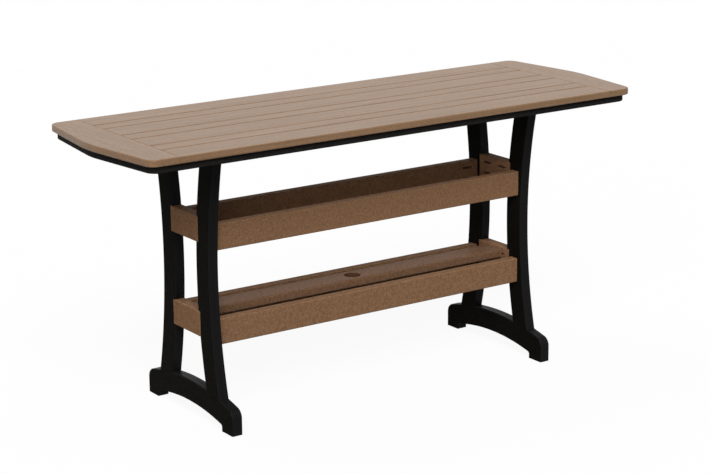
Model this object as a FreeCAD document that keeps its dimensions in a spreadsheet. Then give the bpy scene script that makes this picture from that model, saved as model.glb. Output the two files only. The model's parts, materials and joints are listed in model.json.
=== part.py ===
"""Bar-height trestle table of brown and black poly lumber, in millimetres.

The origin is on the floor under the middle of the table. X runs along the
length, the front long side is at minus Y and Z points up.
"""
import FreeCAD
import Part
import collections
import os
import re

# Sizes in millimetres, angles in degrees. Every length below is read from here.
SIZES = {
    # Table top
    "table_height": 1035,
    "top_thickness": 25,
    "wide_plank": 120.5,
    "narrow_plank": 69,
    "plank_gap": 6,
    "plank_length": 1843,
    "breadboard_gap": 1,
    "breadboard_width": 152,
    "end_fall": 45,
    "apex_radius": 550,
    "corner_radius": 38,
    "top_round": 4,
    "seam_round": 2.5,
    # Umbrella plug
    "plug_head_radius": 30,
    "plug_head_height": 6,
    "plug_shank_radius": 25.7,
    "plug_shank_length": 18,
    "plug_clearance": 0.3,
    "plug_round": 1,
    # Under-frame
    "frame_thickness": 26,
    "frame_inset": 14,
    "rail_width": 89,
    "rail_corner_radius": 42,
    "rail_apex_radius": 300,
    "rail_round": 4,
    "end_rail_lap": 41,
    "batten_width": 89,
    "middle_batten_reach": 230,
    # Trestles
    "trestle_reach": 708,
    "sheet_thickness": 21,
    "sheet_bevel": 3,
    "laminate_bevel": 1,
    "leg_width": 81,
    "leg_radius": 1940,
    "waist_reach": 156.5,
    "waist_height": 549,
    "foot_length": 590,
    "foot_crown": 128,
    "foot_end_radius": 36,
    "seat_drop": 12.8,
    "seat_depth": 1.3,
    "arch_crown": 50,
    "arch_radius": 948,
    "pad_length": 70,
    "pad_round": 10,
    # Boards
    "board_height": 93.5,
    "board_round": 3.5,
    "board_housing": 19.5,
    "upper_end_height": 652.5,
    "lower_end_height": 310,
    "long_board_thickness": 38,
    "long_board_reach": 145,
    "upper_long_height": 627,
    "lower_long_height": 285.5,
    "shelf_width": 99,
    "shelf_thickness": 32,
    "shelf_height": 361.5,
    "shelf_round": 6,
    "pole_hole_radius": 31,
    "pole_hole_round": 1,
    # Screws
    "screw_radius": 2,
    "screw_head_radius": 4.5,
    "screw_head_height": 3,
    "screw_clearance": 0.3,
    "head_recess": 5,
    "pocket_angle": 6,
    "pocket_depth": 50,
    "pocket_setback": 71,
    "pocket_spread": 42,
    "pocket_screw_length": 50,
    "shelf_screw_spread": 22,
    "top_screw_length": 34,
    "rail_screw_pitch": 400,
    "batten_screw_offset": 32,
    "plank_screw_spread": 70,
    "plank_end_margin": 20,
    "breadboard_screw_margin": 40,
    "breadboard_screw_pitch": 180,
    "leg_screw_length": 80,
    "leg_screw_reach": 160,
    "foot_screw_seat": 70,
}

# Sizes that follow from the ones above.
HALF_WIDTH = "(2 * wide_plank + 1.5 * narrow_plank + 3 * plank_gap)"
END_ANGLE = f"atan(end_fall / {HALF_WIDTH})"
TOP_UNDERSIDE = "(table_height - top_thickness)"
FRAME_UNDERSIDE = "(table_height - top_thickness - frame_thickness)"
FRAME_HALF_WIDTH = f"({HALF_WIDTH} - frame_inset)"
BATTEN_HALF_LENGTH = f"({FRAME_HALF_WIDTH} - rail_width)"
RAIL_HALF_LENGTH = "(plank_length / 2 - end_rail_lap)"
BREADBOARD_START = "(plank_length / 2 + breadboard_gap)"
APEX_REACH = f"({BREADBOARD_START} + breadboard_width)"
INNER_FACE = "(trestle_reach - 2 * sheet_thickness)"
TRESTLE_MIDDLE = "(trestle_reach - sheet_thickness)"
END_BOARD_REACH = "(waist_reach - leg_width + board_housing)"
LEG_CENTRE_REACH = "(waist_reach + leg_radius)"
SEAT_HEIGHT = "(foot_crown - seat_drop - seat_depth)"
SEAT_REACH = (
    f"({LEG_CENTRE_REACH}"
    f" - sqrt((leg_radius + leg_width / 2)^2 - (waist_height - {SEAT_HEIGHT})^2))"
)
FOOT_TOP_RADIUS = f"(({SEAT_REACH}^2 + seat_drop^2) / (2 * seat_drop))"
SEAT_ANGLE = f"asin({SEAT_REACH} / {FOOT_TOP_RADIUS})"

SIDES = {"left": -1, "right": 1}
ENDS = {"front": -1, "rear": 1}
NEAR = 0.01

doc = FreeCAD.newDocument("trestle_table")
sheet = doc.addObject("Spreadsheet::Sheet", "Sizes")
for row, (alias, value) in enumerate(SIZES.items(), start=1):
    sheet.set(f"A{row}", alias)
    sheet.set(f"B{row}", str(value))
    sheet.setAlias(f"B{row}", alias)
doc.recompute()

nodes = []
cutters = collections.defaultdict(list)
screws = collections.defaultdict(list)


def formula(text):
    """Turns the size names in a formula into references to the sheet."""
    return re.sub(r"[a-z]+(?:_[a-z]+)+", r"Sizes.\g<0>", str(text))


def bind(piece, **formulas):
    """Ties properties of a piece to formulas."""
    for name, text in formulas.items():
        piece.setExpression(name, formula(text))


def move(piece, x=0, y=0, z=0):
    """Ties the place of a piece to formulas."""
    for letter, text in zip("xyz", (x, y, z)):
        piece.setExpression(f"Placement.Base.{letter}", formula(text))


def turn(piece, axis, angle):
    """Ties the turn of a piece to formulas."""
    piece.Placement.Rotation = FreeCAD.Rotation(FreeCAD.Vector(1, 1, 1), 10)
    for letter, text in zip("xyz", axis):
        piece.setExpression(f"Placement.Rotation.Axis.{letter}", formula(text))
    piece.setExpression("Placement.Rotation.Angle", formula(angle))


def box(name, x, y, z, length, width, height):
    """A box, from its least corner."""
    piece = doc.addObject("Part::Box", name)
    bind(piece, Length=length, Width=width, Height=height)
    move(piece, x, y, z)
    return piece


def pin(name, radius, height, z=0):
    """An upright cylinder on the Z axis."""
    piece = doc.addObject("Part::Cylinder", name)
    bind(piece, Radius=radius, Height=height)
    move(piece, z=z)
    return piece


def disc(name, radius, x, y, z):
    """A disc as thick as one sheet, with its axis along X."""
    piece = doc.addObject("Part::Cylinder", name)
    bind(piece, Radius=radius, Height="sheet_thickness")
    turn(piece, (0, 1, 0), 90)
    move(piece, x, y, z)
    return piece


def joined(name, shapes, kind="Part::MultiFuse"):
    """Several shapes made into one, by default fused."""
    piece = doc.addObject(kind, name)
    piece.Shapes = shapes
    return piece


def placed(name, shape, x, y, z, axis=(0, 0, 1), angle=0):
    """A copy of a shape, turned about its own origin and then moved."""
    piece = doc.addObject("Part::Compound", name)
    piece.Links = [shape]
    turn(piece, axis, angle)
    move(piece, x, y, z)
    return piece


def cut(name, base, tools):
    """A shape with tools taken away from it."""
    piece = doc.addObject("Part::Cut", name)
    piece.Base = base
    piece.Tool = tools[0] if len(tools) == 1 else joined(f"{name}_tools", tools)
    return piece


def rounded(name, base, *picks, kind="Part::Fillet"):
    """A shape with rounded or bevelled edges; each pick is a size name and a test of an edge."""
    doc.recompute()
    edges = []
    for size_name, test in picks:
        radius = float(sheet.get(size_name))
        chosen = [index for index, edge in enumerate(base.Shape.Edges, 1) if test(edge)]
        edges += [(index, radius, radius) for index in chosen]
    piece = doc.addObject(kind, name)
    piece.Base = base
    piece.Edges = edges
    return piece


def along(edge, letter):
    """Whether an edge runs straight along an axis."""
    spans = {axis: getattr(edge.BoundBox, f"{axis}Length") for axis in "XYZ"}
    return all((span < NEAR) != (axis == letter) for axis, span in spans.items())


def finished(label, piece):
    """Takes a piece into the table under the name of its file, with its holes cut."""
    if cutters[label]:
        piece = cut(f"{label}_drilled", piece, cutters[label])
    piece.Label = label
    nodes.append(piece)


def drive(kind, through, x, y, z, axis=(0, 0, 1), angle=0):
    """Sets one screw in its seat and leaves its hole to the pieces that it goes through."""
    number = len(screws[kind]) + 1
    screws[kind].append(placed(f"{kind}_{number}", SCREWS[kind], x, y, z, axis, angle))
    hole = placed(f"{kind}_hole_{number}", HOLES[kind], x, y, z, axis, angle)
    for label in through:
        cutters[label].append(hole)


# Screws: each kind has its seat at the origin and points along Z. Its hole is a
# round recess for the head and a clearance hole for the shank.
def screw_shape(kind, length):
    head = pin(f"{kind}_head", "screw_head_radius", "screw_head_height", "-screw_head_height")
    shank = pin(f"{kind}_shank", "screw_radius", length)
    return joined(f"{kind}_shape", [head, shank])


def hole_shape(kind, length, recess):
    head = pin(f"{kind}_recess", "screw_head_radius + screw_clearance", recess, f"-({recess})")
    shank = pin(f"{kind}_bore", "screw_radius + screw_clearance", f"{length} + screw_clearance")
    return joined(f"{kind}_hole_shape", [head, shank])


SCREWS = {
    "pocket_screws": screw_shape("pocket_screw", "pocket_screw_length"),
    "top_screws": screw_shape("top_screw", "top_screw_length"),
    "leg_screws": screw_shape("leg_screw", "leg_screw_length"),
}
HOLES = {
    "pocket_screws": hole_shape("pocket_screw", "pocket_screw_length", "pocket_depth"),
    "top_screws": hole_shape("top_screw", "top_screw_length", "head_recess"),
    "leg_screws": hole_shape("leg_screw", "leg_screw_length", "foot_screw_seat"),
}

# Pocket screws of the upper and lower boards. Each starts in a long low pocket in
# the inner face of its board and runs out of the board's end into a leg.
POCKET_ALONG = "(pocket_setback - pocket_depth * cos(pocket_angle))"
POCKET_SINK = "(pocket_depth * sin(pocket_angle))"
for tier in ("upper", "lower"):
    for side, sx in SIDES.items():
        for end, sy in ENDS.items():
            legs = [f"leg_{end}_{side}_{layer}" for layer in ("inner", "outer")]
            for row in (-1, 1):
                middle = f"board_height / 2 + {row} * pocket_spread / 2"
                drive(
                    "pocket_screws",
                    [f"long_board_{tier}_{end}", *legs],
                    f"{sx} * ({INNER_FACE} - {POCKET_ALONG})",
                    f"{sy} * (long_board_reach - long_board_thickness + {POCKET_SINK})",
                    f"{tier}_long_height + {middle}",
                    (f"{-sy} * sin(pocket_angle)", f"{sx} * cos(pocket_angle)", 0),
                    90,
                )
                drive(
                    "pocket_screws",
                    [f"end_board_{tier}_{side}", *legs],
                    f"{sx} * ({INNER_FACE} + {POCKET_SINK})",
                    f"{sy} * ({END_BOARD_REACH} - {POCKET_ALONG})",
                    f"{tier}_end_height + {middle}",
                    (f"{-sy} * cos(pocket_angle)", f"{sx} * sin(pocket_angle)", 0),
                    90,
                )
for side, sx in SIDES.items():
    for row in (-1, 1):
        drive(
            "pocket_screws",
            ["shelf_board", f"end_board_lower_{side}"],
            f"{sx} * ({INNER_FACE} - {POCKET_ALONG})",
            f"{row} * shelf_screw_spread / 2",
            f"shelf_height + {POCKET_SINK}",
            (0, sx, 0),
            "90 - pocket_angle",
        )

# Leg screws: down through a batten into each leg layer, and up through a foot.
for side, sx in SIDES.items():
    for end, sy in ENDS.items():
        for layer, sheets in {"outer": 0.5, "inner": 1.5}.items():
            leg = f"leg_{end}_{side}_{layer}"
            x = f"{sx} * (trestle_reach - {sheets} * sheet_thickness)"
            drive("leg_screws", [leg, f"batten_{side}"], x, f"{sy} * leg_screw_reach",
                  f"{TOP_UNDERSIDE} - head_recess", (1, 0, 0), 180)
            drive("leg_screws", [leg, f"foot_{side}_{layer}"], x, f"{sy} * {SEAT_REACH}", "foot_screw_seat")

# Top screws: up through the rails and battens into the planks and breadboards.
PLANKS = {
    "plank_front_outer": "wide_plank",
    "strip_front": "narrow_plank",
    "plank_front_inner": "wide_plank",
    "strip_middle": "narrow_plank",
    "plank_rear_inner": "wide_plank",
    "strip_rear": "narrow_plank",
    "plank_rear_outer": "wide_plank",
}
BATTENS = {
    "batten_left": f"-{TRESTLE_MIDDLE}",
    "batten_middle_left": "-middle_batten_reach",
    "batten_middle_right": "middle_batten_reach",
    "batten_right": TRESTLE_MIDDLE,
}
TOP_SCREW_SEAT = f"{FRAME_UNDERSIDE} + head_recess"
front_edges = {}
front_edge = f"-{HALF_WIDTH}"
for plank, width in PLANKS.items():
    front_edges[plank] = front_edge
    middle = f"{front_edge} + {width} / 2"
    offsets = (-0.5, 0.5) if width == "wide_plank" else (0,)
    if not plank.endswith("outer"):
        for batten, x in BATTENS.items():
            inward = -1 if "right" in batten else 1
            for offset in offsets:
                drive("top_screws", [plank, batten], f"{x} + {inward} * batten_screw_offset",
                      f"{middle} + {offset} * plank_screw_spread", TOP_SCREW_SEAT)
    for side, sx in SIDES.items():
        drive("top_screws", [plank, f"rail_{side}"], f"{sx} * (plank_length / 2 - plank_end_margin)",
              middle, TOP_SCREW_SEAT)
    front_edge = f"{front_edge} + {width} + plank_gap"
for end, sy in ENDS.items():
    for step in (-2, -1, 0, 1, 2):
        drive("top_screws", [f"plank_{end}_outer", f"rail_{end}"], f"{step} * rail_screw_pitch",
              f"{sy} * ({FRAME_HALF_WIDTH} - rail_width / 2)", TOP_SCREW_SEAT)
for side, sx in SIDES.items():
    for step in (-1.5, -0.5, 0.5, 1.5):
        drive("top_screws", [f"breadboard_{side}", f"rail_{side}"],
              f"{sx} * (plank_length / 2 + breadboard_screw_margin)",
              f"{step} * breadboard_screw_pitch", TOP_SCREW_SEAT)

# Umbrella plug: a flush head on a shank that drops into the middle strip.
plug_head = pin("plug_head", "plug_head_radius", "plug_head_height", "table_height - plug_head_height")
plug_shank = pin("plug_shank", "plug_shank_radius", "plug_shank_length",
                 "table_height - plug_head_height - plug_shank_length")
plug_blank = joined("plug_blank", [plug_head, plug_shank])
finished("umbrella_plug", rounded(
    "plug_rounded", plug_blank,
    ("plug_round", lambda edge: edge.BoundBox.ZMin > plug_blank.Shape.BoundBox.ZMax - NEAR),
))
cutters["strip_middle"] += [
    pin("plug_seat", "plug_head_radius + plug_clearance", "plug_head_height",
        "table_height - plug_head_height"),
    pin("plug_bore", "plug_shank_radius + plug_clearance", "top_thickness", TOP_UNDERSIDE),
]


# Planks: the outer two carry the soft edge of the top, the seams are eased.
def plank_rounds(blank, sy):
    def outer(edge):
        return along(edge, "X") and sy * edge.BoundBox.Center.y > sy * blank.Shape.BoundBox.Center.y

    def seam(edge):
        above = edge.BoundBox.ZMin > blank.Shape.BoundBox.ZMax - NEAR
        return above and not outer(edge)

    return ("top_round", outer), ("seam_round", seam)


OUTER_PLANKS = {"plank_front_outer": -1, "plank_rear_outer": 1}
for plank, width in PLANKS.items():
    blank = box(f"{plank}_blank", "-plank_length / 2", front_edges[plank], TOP_UNDERSIDE,
                "plank_length", width, "top_thickness")
    finished(plank, rounded(f"{plank}_rounded", blank, *plank_rounds(blank, OUTER_PLANKS.get(plank, 0))))


# Breadboards and the rails below them share one outline: straight inside, a
# shallow V outside, rounded at the corners and softly at the apex.
def v_board(name, sx, inner, inset, corner, bend, z, thickness):
    apex = f"({APEX_REACH} - {inset} / cos({END_ANGLE}))"
    half_width = f"({HALF_WIDTH} - {inset})"
    least = inner if sx > 0 else f"-{apex}"
    blank = box(f"{name}_blank", least, f"-{half_width}", z,
                f"{apex} - {inner}", f"2 * {half_width}", thickness)
    reach = f"2 * {HALF_WIDTH}"
    half_turn = "0 deg" if sx > 0 else "180 deg"
    waste = [
        box(f"{name}_waste_1", f"{sx} * {apex}", 0, z, "end_fall", reach, thickness),
        box(f"{name}_waste_2", f"{sx} * {apex}", 0, z, reach, "end_fall", thickness),
    ]
    turn(waste[0], (0, 0, 1), f"{half_turn} + {END_ANGLE}")
    turn(waste[1], (0, 0, 1), f"{half_turn} - 90 deg - {END_ANGLE}")
    outline = cut(f"{name}_outline", blank, waste)

    def apex_edge(edge):
        return along(edge, "Z") and abs(edge.BoundBox.Center.y) < NEAR

    def corner_edge(edge):
        return along(edge, "Z") and not apex_edge(edge) and not on_inner_edge(outline, edge)

    return rounded(f"{name}_shaped", outline, (corner, corner_edge), (bend, apex_edge))


def on_inner_edge(board, edge):
    """Whether an edge of a breadboard or end rail is on its straight inner side."""
    bounds = board.Shape.BoundBox
    inner_x = min(abs(bounds.XMin), abs(bounds.XMax))
    return abs(edge.BoundBox.Center.x) < inner_x + NEAR


for side, sx in SIDES.items():
    name = f"breadboard_{side}"
    shaped = v_board(name, sx, BREADBOARD_START, 0, "corner_radius", "apex_radius",
                     TOP_UNDERSIDE, "top_thickness")

    def outline_edge(edge):
        return edge.BoundBox.ZLength < NEAR and not on_inner_edge(shaped, edge)

    def seam_edge(edge):
        return edge.BoundBox.ZMin > shaped.Shape.BoundBox.ZMax - NEAR and on_inner_edge(shaped, edge)

    finished(name, rounded(f"{name}_rounded", shaped, ("top_round", outline_edge), ("seam_round", seam_edge)))

# Under-frame: two long rails, two end rails and four cross battens, all one sheet deep.
# The rails are rounded along the lower edge that shows.
def low(board, edge):
    """Whether an edge lies in the underside of a board."""
    return edge.BoundBox.ZMax < board.Shape.BoundBox.ZMin + NEAR


for end, sy in ENDS.items():
    name = f"rail_{end}"
    front = f"-{FRAME_HALF_WIDTH}" if sy < 0 else BATTEN_HALF_LENGTH
    blank = box(f"{name}_blank", f"-{RAIL_HALF_LENGTH}", front, FRAME_UNDERSIDE,
                f"2 * {RAIL_HALF_LENGTH}", "rail_width", "frame_thickness")

    def lower_front(edge):
        outside = sy * edge.BoundBox.Center.y > sy * blank.Shape.BoundBox.Center.y
        return along(edge, "X") and outside and low(blank, edge)

    finished(name, rounded(f"{name}_rounded", blank, ("rail_round", lower_front)))
for side, sx in SIDES.items():
    name = f"rail_{side}"
    shaped = v_board(name, sx, RAIL_HALF_LENGTH, "frame_inset", "rail_corner_radius", "rail_apex_radius",
                     FRAME_UNDERSIDE, "frame_thickness")

    def lower_outline(edge):
        return low(shaped, edge) and not on_inner_edge(shaped, edge)

    finished(name, rounded(f"{name}_rounded", shaped, ("rail_round", lower_outline)))
for batten, x in BATTENS.items():
    finished(batten, box(
        f"{batten}_blank", f"{x} - batten_width / 2", f"-{BATTEN_HALF_LENGTH}", FRAME_UNDERSIDE,
        "batten_width", f"2 * {BATTEN_HALF_LENGTH}", "frame_thickness",
    ))

# End boards fill the whole thickness of the trestles and are let into the legs.
board_blanks = {}
for tier in ("upper", "lower"):
    for side, sx in SIDES.items():
        label = f"end_board_{tier}_{side}"
        x = INNER_FACE if sx > 0 else "-trestle_reach"
        board_blanks[label] = box(f"{label}_blank", x, f"-{END_BOARD_REACH}", f"{tier}_end_height",
                                  "2 * sheet_thickness", f"2 * {END_BOARD_REACH}", "board_height")

# Legs: each layer is a slice of a wide ring, cut square under the batten and to the
# slope of its seat on the foot.
seat_wedge = box("seat_wedge", "-trestle_reach", "-foot_length / 2", "-2 * foot_crown",
                 "2 * trestle_reach", "foot_length", "2 * foot_crown")
foot_wedge = box("foot_wedge", "-trestle_reach", "-leg_width", 0,
                 "2 * trestle_reach", "2 * leg_width", "seat_drop")
below_seat = {}
above_seat = {}
for end, sy in ENDS.items():
    place = (0, f"{sy} * {SEAT_REACH}", SEAT_HEIGHT, (1, 0, 0), f"{-sy} * {SEAT_ANGLE}")
    below_seat[end] = placed(f"below_seat_{end}", seat_wedge, *place)
    above_seat[end] = placed(f"above_seat_{end}", foot_wedge, *place)


def layer_x(sx, layer):
    """The least X of a sheet in a trestle."""
    if sx > 0:
        return TRESTLE_MIDDLE if layer == "outer" else INNER_FACE
    return "-trestle_reach" if layer == "outer" else f"-{TRESTLE_MIDDLE}"


def eased_sheet(label, blank, sx, layer, test):
    """Bevels the free face of a sheet and, less, its glued face, on edges that pass a test."""
    doc.recompute()
    bounds = blank.Shape.BoundBox
    free_x, glued_x = bounds.XMin, bounds.XMax
    if (sx > 0) == (layer == "outer"):
        free_x, glued_x = glued_x, free_x

    def on_face(edge, x):
        return max(abs(edge.BoundBox.XMin - x), abs(edge.BoundBox.XMax - x)) < NEAR and test(edge)

    return rounded(
        f"{label}_bevelled", blank,
        ("sheet_bevel", lambda edge: on_face(edge, free_x)),
        ("laminate_bevel", lambda edge: on_face(edge, glued_x)),
        kind="Part::Chamfer",
    )


def curved(edge):
    return edge.Curve.TypeId == "Part::GeomCircle"


for side, sx in SIDES.items():
    for end, sy in ENDS.items():
        for layer in ("outer", "inner"):
            label = f"leg_{end}_{side}_{layer}"
            x = layer_x(sx, layer)
            centre = (x, f"{sy} * {LEG_CENTRE_REACH}", "waist_height")
            ring = cut(f"{label}_ring", disc(f"{label}_inner_edge", "leg_radius + leg_width", *centre),
                       [disc(f"{label}_outer_edge", "leg_radius", *centre)])
            window = box(f"{label}_window", x, "-foot_length / 2" if sy < 0 else 0, 0,
                         "sheet_thickness", "foot_length / 2", FRAME_UNDERSIDE)
            blank = joined(f"{label}_blank", [ring, window], "Part::MultiCommon")
            shaped = eased_sheet(label, blank, sx, layer, curved)
            cutters[label] += [below_seat[end]]
            cutters[label] += [board_blanks[f"end_board_{tier}_{side}"] for tier in ("upper", "lower")]
            finished(label, shaped)

# Feet: an arched top and an arched underside that leaves a pad at each end.
for side, sx in SIDES.items():
    for layer in ("outer", "inner"):
        label = f"foot_{side}_{layer}"
        x = layer_x(sx, layer)
        top_arch = disc(f"{label}_top", FOOT_TOP_RADIUS, x, 0, f"foot_crown - {FOOT_TOP_RADIUS}")
        window = box(f"{label}_window", x, "-foot_length / 2", 0,
                     "sheet_thickness", "foot_length", "foot_crown")
        arch_disc = disc(f"{label}_arch_disc", "arch_radius", x, 0, "arch_crown - arch_radius")
        arch_window = box(f"{label}_arch_window", x, "pad_length - foot_length / 2", 0,
                          "sheet_thickness", "foot_length - 2 * pad_length", "arch_crown")
        arch = joined(f"{label}_arch", [arch_disc, arch_window], "Part::MultiCommon")
        bow = joined(f"{label}_bow", [top_arch, window], "Part::MultiCommon")
        blank = cut(f"{label}_blank", bow, [arch])
        doc.recompute()
        bounds = blank.Shape.BoundBox

        def end_corner(edge):
            at_end = abs(edge.BoundBox.Center.y) > bounds.YMax - NEAR
            return along(edge, "X") and at_end and edge.BoundBox.ZMin > NEAR

        def pad_corner(edge):
            inside = abs(edge.BoundBox.Center.y) < bounds.YMax - NEAR
            return along(edge, "X") and inside and edge.BoundBox.ZMin > NEAR

        shaped = rounded(f"{label}_shaped", blank, ("foot_end_radius", end_corner), ("pad_round", pad_corner))
        arch_top = float(sheet.get("arch_crown"))

        def upper(edge):
            at_end = abs(edge.BoundBox.Center.y) > bounds.YMax - NEAR
            return at_end or edge.BoundBox.ZMax > arch_top + NEAR

        eased = eased_sheet(label, shaped, sx, layer, upper)
        cutters[label] += list(above_seat.values())
        finished(label, eased)


# Boards and shelf: rounded along their length, the end boards on their upright edges too.
def board(label, blank, letters):
    def eased(edge):
        return any(along(edge, letter) for letter in letters)

    finished(label, rounded(f"{label}_rounded", blank, ("board_round", eased)))


for label, blank in board_blanks.items():
    board(label, blank, "YZ")
for tier in ("upper", "lower"):
    for end, sy in ENDS.items():
        label = f"long_board_{tier}_{end}"
        y = "-long_board_reach" if sy < 0 else "long_board_reach - long_board_thickness"
        blank = box(f"{label}_blank", f"-{INNER_FACE}", y, f"{tier}_long_height",
                    f"2 * {INNER_FACE}", "long_board_thickness", "board_height")
        board(label, blank, "X")

shelf_blank = box("shelf_blank", f"-{INNER_FACE}", "-shelf_width / 2", "shelf_height",
                  f"2 * {INNER_FACE}", "shelf_width", "shelf_thickness")
shelf_eased = rounded("shelf_eased", shelf_blank, ("shelf_round", lambda edge: along(edge, "X")))
pole_hole = pin("pole_hole", "pole_hole_radius", "shelf_thickness", "shelf_height")


def rim(edge):
    return curved(edge) and edge.BoundBox.ZLength < NEAR


shelf_bored = cut("shelf_bored", shelf_eased, [pole_hole])
finished("shelf_board", rounded("shelf_rounded", shelf_bored, ("pole_hole_round", rim)))

# Screw groups
for kind, group in screws.items():
    piece = doc.addObject("Part::Compound", kind)
    piece.Links = group
    finished(kind, piece)

doc.recompute()
for piece in doc.Objects:
    if {"Invalid", "Error"} & set(piece.State):
        raise RuntimeError(f"{piece.Name} did not build: {piece.State}")
os.makedirs("parts", exist_ok=True)
for piece in nodes:
    if piece.Shape.isNull() or not piece.Shape.isValid():
        raise RuntimeError(f"{piece.Label} has no valid shape")
    piece.Shape.exportStep(f"parts/{piece.Label}.step")
    print(piece.Label, len(piece.Shape.Solids), round(piece.Shape.Volume))
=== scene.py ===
import json
import math

import bmesh
import bpy
import numpy as np
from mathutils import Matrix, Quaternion, Vector

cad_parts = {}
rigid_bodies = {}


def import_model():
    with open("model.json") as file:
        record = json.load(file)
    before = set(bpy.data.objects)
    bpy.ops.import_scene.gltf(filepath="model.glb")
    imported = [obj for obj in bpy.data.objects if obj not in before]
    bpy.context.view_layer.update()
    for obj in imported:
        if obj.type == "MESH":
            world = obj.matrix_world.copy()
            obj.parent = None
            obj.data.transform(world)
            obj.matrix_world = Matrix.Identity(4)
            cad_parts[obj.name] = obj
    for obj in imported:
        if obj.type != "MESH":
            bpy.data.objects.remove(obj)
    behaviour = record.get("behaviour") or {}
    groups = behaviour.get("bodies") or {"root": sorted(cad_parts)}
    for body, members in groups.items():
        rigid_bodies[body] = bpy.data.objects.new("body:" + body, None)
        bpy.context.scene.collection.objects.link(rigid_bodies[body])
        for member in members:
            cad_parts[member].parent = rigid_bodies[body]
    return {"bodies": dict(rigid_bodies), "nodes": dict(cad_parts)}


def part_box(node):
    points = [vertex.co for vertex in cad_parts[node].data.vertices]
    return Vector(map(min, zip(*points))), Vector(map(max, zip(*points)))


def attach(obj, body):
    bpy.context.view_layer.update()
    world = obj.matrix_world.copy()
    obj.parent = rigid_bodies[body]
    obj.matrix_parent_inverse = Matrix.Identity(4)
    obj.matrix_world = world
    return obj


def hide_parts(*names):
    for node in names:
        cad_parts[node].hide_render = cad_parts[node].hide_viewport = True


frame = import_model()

scene = bpy.context.scene
nodes = frame["nodes"]
for spare in set(bpy.data.objects) - set(nodes.values()) - set(frame["bodies"].values()):
    bpy.data.objects.remove(spare)
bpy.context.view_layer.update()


# Feet: two black poly lumber sheets glued face to face, sawn to a bow with a pad at
# each end. Their edges are routed round, and the legs stand in shallow seats on top.
FREE_BEVEL, GLUED_BEVEL = 0.003, 0.001
BEVEL_SLACK, BEVEL_TURN = 1.01, (30, 60)
ROUND_SHARE, ROUND_STEPS = 0.7, 4
SHEET_WELD, FLAT_TURN, SHARP_TURN = 1e-5, math.radians(0.1), math.radians(32)
# The edge colour is a painted sheen: routed edges are paler for the light that their round-overs catch.
BLACK, BLACK_EDGE_PAINTED_SHEEN = ("#0F0E0B", "#171613"), "#181718"


def linear(colour):
    """Turns an sRGB hex colour into the linear colour that a shader takes."""
    channels = [int(colour[at:at + 2], 16) / 255 for at in (1, 3, 5)]
    return [c / 12.92 if c <= 0.04045 else ((c + 0.055) / 1.055) ** 2.4 for c in channels] + [1.0]


def node(tree, kind, inputs=None, **settings):
    """Adds a node with its settings; each input is a value or the output of another node."""
    added = tree.nodes.new(kind)
    for name, value in settings.items():
        setattr(added, name, value)
    for name, value in (inputs or {}).items():
        if isinstance(value, bpy.types.NodeSocket):
            tree.links.new(value, added.inputs[name])
        else:
            added.inputs[name].default_value = value
    return added


# Poly lumber: recycled polyethylene, coloured through and extruded. Rollers emboss it with a
# leathery mottle, and the boards of a top are brushed as well, which leaves fine streaks. A real
# mottle is finer, and is drawn this coarse to show. Faces that lie flat have a soft sheen, sawn
# ones are duller, and the routed edges of the black sheets gleam slightly; their paler colour is a
# painted sheen for the light that the round-overs catch.
MOTTLE_MM, STREAK_MM = (8, 8), (300, 6)
# Each piece takes its pattern from another place, up to LOT_STEP away.
LOT_STEP = 40.0
PATTERN_LOW, PATTERN_HIGH = 0.3, 0.7
EMBOSS_M = 0.0003
ROUGHNESS_SWING = 0.05
# A wall more than SKIN inside the box of its board lines a slot or hole, and gets painted shade.
SKIN, PAINTED_HOLLOW_SHADE = 0.0015, "#553C2C"
SAWN_SHEEN, ROUTED_SHEEN = 0.6, 0.04
# The Z of its normal makes a surface sawn or flat, and the X makes it a sheet's face or edge.
SAWN_Z, FLAT_Z = 0.3, 0.95
FACE_X, EDGE_X = 0.9, 0.6


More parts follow.
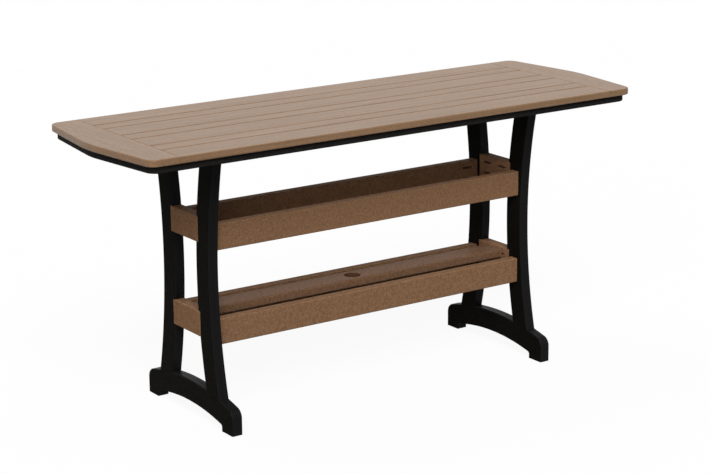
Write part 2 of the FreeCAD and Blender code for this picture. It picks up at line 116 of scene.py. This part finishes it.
def poly_lumber(name, colours, grain, roughness, specular, brushed=0.0, board=None, edge=None):
    """The lumber in two tones, its grain along one axis of the table.

    The brushed share mixes streaks into the mottle. A board is the box of one that has slots or a
    hole: their walls, which lie inside the box, get painted shade, a dark colour for the shade in
    these hollows. A board and its mirror image share one box. An edge is the colour of the routed
    edges of a sheet that faces along X, paler than its faces as painted sheen.
    """
    material = bpy.data.materials.new(name)
    material.use_nodes = True
    tree = material.node_tree
    shader = tree.nodes["Principled BSDF"]
    given = node(tree, "ShaderNodeTexCoord").outputs
    place = given["Object"]
    piece = node(tree, "ShaderNodeObjectInfo").outputs["Random"]
    lot = node(tree, "ShaderNodeMath", {0: piece, 1: LOT_STEP}, operation="MULTIPLY").outputs[0]
    patterns = []
    for long_mm, wide_mm in (MOTTLE_MM, STREAK_MM) if brushed else (MOTTLE_MM,):
        per_metre = [1000 / (long_mm if axis == grain else wide_mm) for axis in "XYZ"]
        cells = node(tree, "ShaderNodeMapping", {"Vector": place, "Scale": per_metre}).outputs[0]
        patterns.append(node(tree, "ShaderNodeTexNoise", {
            "Vector": cells, "W": lot, "Scale": 1.0, "Detail": 1.5, "Roughness": 0.5,
        }, noise_dimensions="4D").outputs[0])
    pattern = patterns[0]
    if brushed:
        pattern = node(tree, "ShaderNodeMix", {
            "Factor": brushed, 2: patterns[0], 3: patterns[1],
        }).outputs[0]
    tone = node(tree, "ShaderNodeMapRange", {
        "Value": pattern, "From Min": PATTERN_LOW, "From Max": PATTERN_HIGH,
    }).outputs[0]
    blend = node(tree, "ShaderNodeMix", {
        "Factor": tone, 6: linear(colours[0]), 7: linear(colours[1]),
    }, data_type="RGBA").outputs[2]
    # Walls inside the board's box take the painted shade of slots and holes.
    if board:
        low, high = board
        away = place
        for inset in ((low + high) / 2, (high - low) / 2 - Vector((SKIN, SKIN, SKIN))):
            away = node(tree, "ShaderNodeVectorMath", {0: away}, operation="ABSOLUTE").outputs[0]
            away = node(tree, "ShaderNodeVectorMath", {0: away, 1: inset}, operation="SUBTRACT").outputs[0]
        depth = node(tree, "ShaderNodeSeparateXYZ", {0: away}).outputs
        least = node(tree, "ShaderNodeMath", {0: depth[0], 1: depth[1]}, operation="MAXIMUM").outputs[0]
        least = node(tree, "ShaderNodeMath", {0: least, 1: depth[2]}, operation="MAXIMUM").outputs[0]
        inside = node(tree, "ShaderNodeMath", {0: least, 1: 0.0}, operation="LESS_THAN").outputs[0]
        blend = node(tree, "ShaderNodeMix", {
            "Factor": inside, 6: blend, 7: linear(PAINTED_HOLLOW_SHADE),
        }, data_type="RGBA").outputs[2]
    facing = node(tree, "ShaderNodeSeparateXYZ", {0: given["Normal"]}).outputs
    # Routed edges blend towards the edge colour, a painted sheen; ROUTED_SHEEN is their real gleam.
    if edge:
        flat = node(tree, "ShaderNodeMath", {0: facing["X"]}, operation="ABSOLUTE").outputs[0]
        routed = node(tree, "ShaderNodeMapRange", {
            "Value": flat, "From Min": FACE_X, "From Max": EDGE_X,
        }).outputs[0]
        blend = node(tree, "ShaderNodeMix", {
            "Factor": routed, 6: blend, 7: linear(edge),
        }, data_type="RGBA").outputs[2]
        sheen = node(tree, "ShaderNodeMapRange", {
            "Value": routed, "To Min": SAWN_SHEEN * specular, "To Max": ROUTED_SHEEN,
        }).outputs[0]
    else:
        sheen = node(tree, "ShaderNodeMapRange", {
            "Value": facing["Z"], "From Min": SAWN_Z, "From Max": FLAT_Z,
            "To Min": SAWN_SHEEN * specular, "To Max": specular,
        }).outputs[0]
    dull = node(tree, "ShaderNodeMapRange", {
        "Value": pattern, "From Min": PATTERN_LOW, "From Max": PATTERN_HIGH,
        "To Min": roughness + ROUGHNESS_SWING, "To Max": roughness - ROUGHNESS_SWING,
    }).outputs[0]
    relief = node(tree, "ShaderNodeBump", {
        "Strength": 1.0, "Distance": EMBOSS_M, "Height": pattern,
    }).outputs[0]
    tree.links.new(blend, shader.inputs["Base Color"])
    tree.links.new(dull, shader.inputs["Roughness"])
    tree.links.new(sheen, shader.inputs["Specular IOR Level"])
    tree.links.new(relief, shader.inputs["Normal"])
    return material


def dress(material, *names):
    """Gives CAD nodes their finish."""
    for name in names:
        nodes[name].data.materials.clear()
        nodes[name].data.materials.append(material)


def routed_sheet(name, inside, material):
    """Turns the routed bevels of a CAD sheet into round-overs, on a copy that stands for it."""
    low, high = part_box(name)
    free_x, glued_x = (high.x, low.x) if inside == (low.x < 0) else (low.x, high.x)
    sheet = bmesh.new()
    sheet.from_mesh(nodes[name].data)
    bmesh.ops.remove_doubles(sheet, verts=sheet.verts, dist=SHEET_WELD)
    bmesh.ops.dissolve_limit(sheet, angle_limit=FLAT_TURN, verts=sheet.verts, edges=sheet.edges)
    for face_x, bevel in ((free_x, FREE_BEVEL), (glued_x, GLUED_BEVEL)):
        # The edges of a CAD bevel lie within its depth of the face and turn by about 45 degrees.
        depth = BEVEL_SLACK * bevel
        routed = [
            edge for edge in sheet.edges
            if all(abs(corner.co.x - face_x) < depth for corner in edge.verts)
            and abs(edge.verts[0].co.x - edge.verts[1].co.x) < SHEET_WELD
            and len(edge.link_faces) == 2
            and BEVEL_TURN[0] < math.degrees(edge.calc_face_angle()) < BEVEL_TURN[1]
        ]
        bmesh.ops.bevel(sheet, geom=routed, offset=ROUND_SHARE * bevel, offset_type="OFFSET", affect="EDGES",
                        segments=ROUND_STEPS, profile=0.5, clamp_overlap=False)
    mesh = bpy.data.meshes.new(f"routed_{name}")
    sheet.to_mesh(mesh)
    sheet.free()
    mesh.materials.append(material)
    mesh.shade_smooth()
    mesh.set_sharp_from_angle(angle=SHARP_TURN)
    piece = bpy.data.objects.new(f"routed_{name}", mesh)
    scene.collection.objects.link(piece)
    piece.modifiers.new("flat_faces", "WEIGHTED_NORMAL").keep_sharp = True
    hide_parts(name)
    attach(piece, "table")


BLACK_ACROSS = poly_lumber("black_poly_lumber_across", BLACK, grain="Y", roughness=0.4, specular=0.007,
                           edge=BLACK_EDGE_PAINTED_SHEEN)
for side in ("left", "right"):
    for layer in ("outer", "inner"):
        routed_sheet(f"foot_{side}_{layer}", layer == "inner", BLACK_ACROSS)


# Legs: two black sheets each, sawn to a long curve, glued and routed like the feet.
# Screws hold them to the feet below and to the battens above.
BLACK_UPRIGHT = poly_lumber("black_poly_lumber_upright", BLACK, grain="Z", roughness=0.4, specular=0.007,
                            edge=BLACK_EDGE_PAINTED_SHEEN)
for side in ("left", "right"):
    for end in ("front", "rear"):
        for layer in ("outer", "inner"):
            routed_sheet(f"leg_{end}_{side}_{layer}", layer == "inner", BLACK_UPRIGHT)


# End boards: short brown boards across each pair of legs, let into them flush with
# both faces. Pocket screws in the inner face run into the legs.
BROWN = ("#7C5B41", "#957256")
for tier in ("upper", "lower"):
    lumber = poly_lumber(f"brown_poly_lumber_end_{tier}", BROWN, grain="Y", roughness=0.55, specular=0.02,
                         board=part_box(f"end_board_{tier}_right"))
    dress(lumber, f"end_board_{tier}_left", f"end_board_{tier}_right")


# Long boards: four brown boards on edge between the trestles, two to a tier. Each is
# rounded along its length and held by pocket screws from its inner face.
for tier in ("upper", "lower"):
    lumber = poly_lumber(f"brown_poly_lumber_long_{tier}", BROWN, grain="X", roughness=0.55, specular=0.02,
                         board=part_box(f"long_board_{tier}_rear"))
    dress(lumber, f"long_board_{tier}_front", f"long_board_{tier}_rear")


# Shelf: one flat board between the lower end boards, with a hole for the umbrella pole. Its colour
# is darker than the other boards' as painted shade from the top above it. Pocket screws from below
# hold its ends.
SHELF_BROWN_PAINTED_SHADE = ("#664B37", "#7C5E48")
SHELF_LUMBER = poly_lumber("brown_poly_lumber_shelf", SHELF_BROWN_PAINTED_SHADE, grain="X", roughness=0.5, specular=0.04,
                           board=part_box("shelf_board"))
dress(SHELF_LUMBER, "shelf_board")


# Under-frame: black boards on the flat below the top. Four battens join the planks
# and two long and two end rails run round the rim, a little inside the top's edge.
# The frame's black is paler than the legs': painted light that lifts the rails and battens out of the top's
# shade.
FRAME_BLACK_PAINTED_LIGHT = ("#21201F", "#2A2827")
FRAME_ACROSS = poly_lumber("black_poly_lumber_frame_across", FRAME_BLACK_PAINTED_LIGHT, grain="Y", roughness=0.4,
                           specular=0.007)
FRAME_ALONG = poly_lumber("black_poly_lumber_frame_along", FRAME_BLACK_PAINTED_LIGHT, grain="X", roughness=0.4,
                          specular=0.007)
dress(FRAME_ACROSS, "batten_left", "batten_middle_left", "batten_middle_right", "batten_right",
      "rail_left", "rail_right")
dress(FRAME_ALONG, "rail_front", "rail_rear")


# Table top: wide and narrow brown planks side by side with eased seams, closed at each
# end by a breadboard with a shallow V. They are screwed from below.
TOP_BROWN = ("#7B5D41", "#947456")
TOP_ALONG = poly_lumber("brushed_poly_lumber_along", TOP_BROWN, grain="X", roughness=0.4, specular=0.5,
                        brushed=0.6)
TOP_ACROSS = poly_lumber("brushed_poly_lumber_across", TOP_BROWN, grain="Y", roughness=0.4, specular=0.5,
                         brushed=0.4)
dress(TOP_ALONG, "plank_front_outer", "strip_front", "plank_front_inner", "strip_middle",
      "plank_rear_inner", "strip_rear", "plank_rear_outer")
dress(TOP_ACROSS, "breadboard_left", "breadboard_right")


# Umbrella plug: a turned brown disc on a shank that drops into the middle strip, flush
# with the top, and lifts out to let a pole through.
dress(TOP_ALONG, "umbrella_plug")


# Screws: steel with a dark bronze coat, a low round head, a square drive and a plain shank
# that ends in a point. They sit in the pockets and recesses that the lumber has for them.
HEAD_RADIUS, HEAD_HEIGHT, SHANK_RADIUS = 0.0045, 0.003, 0.002
DRIVE_WIDTH, DRIVE_DEPTH = 0.0033, 0.002
# The crown is a share of the head's radius, the skirt's middle a share of the head's height and
# the length of the point a multiple of the shank's radius.
CROWN_SHARE, SKIRT_MIDDLE, POINT_SHARE = 0.82, 0.75, 3.0
HEAD_SIDES, SHANK_SIDES = 20, 10
SCREW_WELD, HEAD_SHARE = 1e-6, 0.8
COAT, COAT_ROUGHNESS, WEAR_MM = ("#241A13", "#3A2B20"), (0.35, 0.55), 0.8


def coated_steel(name):
    """Bronze coat on steel: dark brown with a dull gleam, and worn a little paler in small spots."""
    material = bpy.data.materials.new(name)
    material.use_nodes = True
    tree = material.node_tree
    shader = tree.nodes["Principled BSDF"]
    place = node(tree, "ShaderNodeTexCoord").outputs["Object"]
    worn = node(tree, "ShaderNodeTexNoise", {
        "Vector": place, "Scale": 1000 / WEAR_MM, "Detail": 2.0,
    }).outputs[0]
    tone = node(tree, "ShaderNodeMix", {
        "Factor": worn, 6: linear(COAT[0]), 7: linear(COAT[1]),
    }, data_type="RGBA").outputs[2]
    tree.links.new(tone, shader.inputs["Base Color"])
    dull = node(tree, "ShaderNodeMapRange", {
        "Value": worn, "To Min": COAT_ROUGHNESS[0], "To Max": COAT_ROUGHNESS[1],
    }).outputs[0]
    tree.links.new(dull, shader.inputs["Roughness"])
    return material


def screw_tree(material):
    """A tree that sets one screw on each point, head at the point and shank along its aim."""
    tree = bpy.data.node_groups.new("screw_row", "GeometryNodeTree")
    tree.interface.new_socket("Geometry", in_out="INPUT", socket_type="NodeSocketGeometry")
    for name in ("Head Radius", "Head Height", "Shank Radius", "Shank Length", "Drive Width", "Drive Depth"):
        tree.interface.new_socket(name, in_out="INPUT", socket_type="NodeSocketFloat")
    tree.interface.new_socket("Geometry", in_out="OUTPUT", socket_type="NodeSocketGeometry")
    given = node(tree, "NodeGroupInput").outputs

    def at_height(shape, height):
        """Moves a shape along the screw."""
        move = node(tree, "ShaderNodeCombineXYZ", {"Z": height}).outputs[0]
        return node(tree, "GeometryNodeTransform", {"Geometry": shape, "Translation": move}).outputs[0]

    # The head is a cone from its crown to its full radius, then a skirt of the same height.
    half_head, skirt_middle, crown_radius, point = (
        node(tree, "ShaderNodeMath", {0: given[size], 1: share}, operation="MULTIPLY").outputs[0]
        for size, share in (
            ("Head Height", 0.5), ("Head Height", SKIRT_MIDDLE),
            ("Head Radius", CROWN_SHARE), ("Shank Radius", POINT_SHARE),
        )
    )
    crown = node(tree, "GeometryNodeMeshCone", {
        "Vertices": HEAD_SIDES, "Radius Top": given["Head Radius"], "Radius Bottom": crown_radius,
        "Depth": half_head,
    }).outputs["Mesh"]
    skirt = node(tree, "GeometryNodeMeshCylinder", {
        "Vertices": HEAD_SIDES, "Radius": given["Head Radius"], "Depth": half_head,
    }).outputs["Mesh"]
    head = node(tree, "GeometryNodeJoinGeometry")
    for shape in (crown, at_height(skirt, skirt_middle)):
        tree.links.new(shape, head.inputs[0])
    welded = node(tree, "GeometryNodeMergeByDistance", {
        "Geometry": head.outputs[0], "Distance": SCREW_WELD,
    }).outputs[0]
    size = node(tree, "ShaderNodeCombineXYZ", {
        "X": given["Drive Width"], "Y": given["Drive Width"], "Z": given["Drive Depth"],
    }).outputs[0]
    drive = node(tree, "GeometryNodeMeshCube", {"Size": size}).outputs["Mesh"]
    cut = node(tree, "GeometryNodeMeshBoolean", {
        "Mesh 1": welded, "Mesh 2": drive,
    }, operation="DIFFERENCE").outputs[0]
    body = node(tree, "ShaderNodeMath", {
        0: given["Shank Length"], 1: point,
    }, operation="SUBTRACT").outputs[0]
    shank = node(tree, "GeometryNodeMeshCylinder", {
        "Vertices": SHANK_SIDES, "Radius": given["Shank Radius"], "Depth": body,
    }).outputs["Mesh"]
    half_body = node(tree, "ShaderNodeMath", {0: body, 1: 0.5}, operation="MULTIPLY").outputs[0]
    middle = node(tree, "ShaderNodeMath", {
        0: half_body, 1: given["Head Height"],
    }, operation="ADD").outputs[0]
    start = node(tree, "ShaderNodeMath", {0: body, 1: given["Head Height"]}, operation="ADD").outputs[0]
    tip = node(tree, "GeometryNodeMeshCone", {
        "Vertices": SHANK_SIDES, "Radius Top": 0.0, "Radius Bottom": given["Shank Radius"], "Depth": point,
    }).outputs["Mesh"]
    screw = node(tree, "GeometryNodeJoinGeometry")
    for shape in (cut, at_height(shank, middle), at_height(tip, start)):
        tree.links.new(shape, screw.inputs[0])
    aim = node(tree, "GeometryNodeInputNamedAttribute", {"Name": "aim"}, data_type="FLOAT_VECTOR").outputs[0]
    turn = node(tree, "FunctionNodeAlignRotationToVector", {"Vector": aim}, axis="Z").outputs[0]
    placed = node(tree, "GeometryNodeInstanceOnPoints", {
        "Points": given["Geometry"], "Instance": screw.outputs[0], "Rotation": turn,
    }).outputs[0]
    solid = node(tree, "GeometryNodeRealizeInstances", {"Geometry": placed}).outputs[0]
    finished = node(tree, "GeometryNodeSetMaterial", {"Geometry": solid, "Material": material}).outputs[0]
    node(tree, "NodeGroupOutput", {0: finished})
    return tree


def screw_places(name):
    """Reads from a CAD node where each of its screws has the top of its head, its aim and its length."""
    solid = bmesh.new()
    solid.from_mesh(nodes[name].data)
    bmesh.ops.remove_doubles(solid, verts=solid.verts, dist=SCREW_WELD)
    waiting, places = set(solid.verts), []
    while waiting:
        island, edge_of_island = [], [waiting.pop()]
        while edge_of_island:
            corner = edge_of_island.pop()
            island.append(corner.co[:])
            near = {edge.other_vert(corner) for edge in corner.link_edges} & waiting
            waiting -= near
            edge_of_island += near
        corners = np.array(island)
        middle = corners.mean(0)
        aim = np.linalg.svd(corners - middle, full_matrices=False)[2][0]
        along = (corners - middle) @ aim
        away = np.linalg.norm(corners - middle - np.outer(along, aim), axis=1)
        # The corners furthest from the axis are the head's, and the aim runs away from them.
        if along[away > HEAD_SHARE * away.max()].mean() > 0:
            aim, along = -aim, -along
        places.append((middle + along.min() * aim, aim, along.max() - along.min() - HEAD_HEIGHT))
    solid.free()
    return places


SCREW_TREE = screw_tree(coated_steel("bronze_coated_steel"))
sockets = {item.name: item.identifier for item in SCREW_TREE.interface.items_tree if item.in_out == "INPUT"}
for name in ("pocket_screws", "leg_screws", "top_screws"):
    places = screw_places(name)
    seats = bpy.data.meshes.new(f"{name}_seats")
    seats.from_pydata([list(top) for top, _, _ in places], [], [])
    seats.attributes.new("aim", "FLOAT_VECTOR", "POINT").data.foreach_set(
        "vector", np.array([aim for _, aim, _ in places], np.float32).ravel())
    row = bpy.data.objects.new(f"{name}_row", seats)
    scene.collection.objects.link(row)
    made = row.modifiers.new("screws", "NODES")
    made.node_group = SCREW_TREE
    # The cutter of the drive is centred on the top of the head, so half of its height cuts.
    for size, value in {
        "Head Radius": HEAD_RADIUS, "Head Height": HEAD_HEIGHT,
        "Shank Radius": SHANK_RADIUS, "Shank Length": float(places[0][2]),
        "Drive Width": DRIVE_WIDTH, "Drive Depth": 2 * DRIVE_DEPTH,
    }.items():
        made[sockets[size]] = value
    graph = bpy.context.evaluated_depsgraph_get()
    mesh = bpy.data.meshes.new_from_object(row.evaluated_get(graph))
    row.modifiers.remove(made)
    row.data = mesh
    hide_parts(name)
    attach(row, "table")


# Studio: a plain floor, a dim white room, a soft key lamp high at the front left, a weak lamp
# high at the rear left and a low fill lamp at the left. Floor and room show white.
FLOOR_REACH, FLOOR_DROP = 150.0, 0.0005
FLOOR, FLOOR_GLOW = "#505050", 0.92
ROOM, ROOM_STRENGTH = "#FFFFFF", 0.2
# Each lamp has a strength, an apparent width and the way that its light goes.
LAMPS = {
    "key_lamp": (2.25, math.radians(30), Vector((0.3, 0.63, -0.71))),
    "rear_lamp": (0.5, math.radians(40), Vector((0.3, -0.5, -0.81))),
    "fill_lamp": (0.98, math.radians(40), Vector((0.76, 0.56, -0.32))),
}


def shown(tree):
    """One for a ray from the camera or from a mirror or glass, else nothing."""
    ray = node(tree, "ShaderNodeLightPath").outputs
    seen = ray["Is Camera Ray"]
    for kind in ("Is Glossy Ray", "Is Transmission Ray"):
        seen = node(tree, "ShaderNodeMath", {0: seen, 1: ray[kind]}, operation="MAXIMUM").outputs[0]
    return seen


floor_mesh = bpy.data.meshes.new("studio_floor")
floor_corners = [(-1, -1), (1, -1), (1, 1), (-1, 1)]
floor_mesh.from_pydata(
    [(x * FLOOR_REACH, y * FLOOR_REACH, -FLOOR_DROP) for x, y in floor_corners], [], [(0, 1, 2, 3)])
floor = bpy.data.objects.new("studio_floor", floor_mesh)
scene.collection.objects.link(floor)
paper = bpy.data.materials.new("floor_paper")
paper.use_nodes = True
paper_tree = paper.node_tree
glow = node(paper_tree, "ShaderNodeMath", {
    0: shown(paper_tree), 1: FLOOR_GLOW,
}, operation="MULTIPLY").outputs[0]
shader = paper_tree.nodes["Principled BSDF"]
shader.inputs["Base Color"].default_value = linear(FLOOR)
shader.inputs["Roughness"].default_value = 1.0
shader.inputs["Specular IOR Level"].default_value = 0.0
shader.inputs["Emission Color"].default_value = linear(ROOM)
paper_tree.links.new(glow, shader.inputs["Emission Strength"])
floor_mesh.materials.append(paper)

world = bpy.data.worlds.new("studio")
scene.world = world
world.use_nodes = True
room_tree = world.node_tree
brightness = node(room_tree, "ShaderNodeMix", {
    "Factor": shown(room_tree), 2: ROOM_STRENGTH, 3: 1.0,
}).outputs[0]
room = room_tree.nodes["Background"]
room.inputs["Color"].default_value = linear(ROOM)
room_tree.links.new(brightness, room.inputs["Strength"])

for name, (strength, width, aim) in LAMPS.items():
    lamp = bpy.data.lights.new(name, "SUN")
    lamp.energy = strength
    lamp.angle = width
    hung = bpy.data.objects.new(name, lamp)
    hung.rotation_mode = "QUATERNION"
    hung.rotation_quaternion = aim.to_track_quat("-Z", "Y")
    scene.collection.objects.link(hung)


# Camera: it stands where the photograph was taken, to the left of the front and above the top,
# and looks at the middle of the table through a long lens.
FOCAL_PX, IMAGE_WIDTH = 2061.866, 711
SENSOR_MM, CLIP_END = 36.0, 400.0
YAW, PITCH, ROLL = math.radians(34.509), math.radians(15.193), math.radians(-0.403)
TARGET, DISTANCE = Vector((0.01572, 0.0, 0.5359)), 7.6109
ahead = Vector((math.sin(YAW) * math.cos(PITCH), math.cos(YAW) * math.cos(PITCH), -math.sin(PITCH)))
lens = bpy.data.cameras.new("camera")
lens.sensor_fit = "HORIZONTAL"
lens.sensor_width = SENSOR_MM
lens.lens = SENSOR_MM * FOCAL_PX / IMAGE_WIDTH
lens.clip_end = CLIP_END
camera = bpy.data.objects.new("camera", lens)
camera.rotation_mode = "QUATERNION"
camera.rotation_quaternion = ahead.to_track_quat("-Z", "Y") @ Quaternion((0, 0, 1), ROLL)
camera.location = TARGET - DISTANCE * ahead
scene.collection.objects.link(camera)
scene.camera = camera
scene.view_settings.view_transform = "Standard"
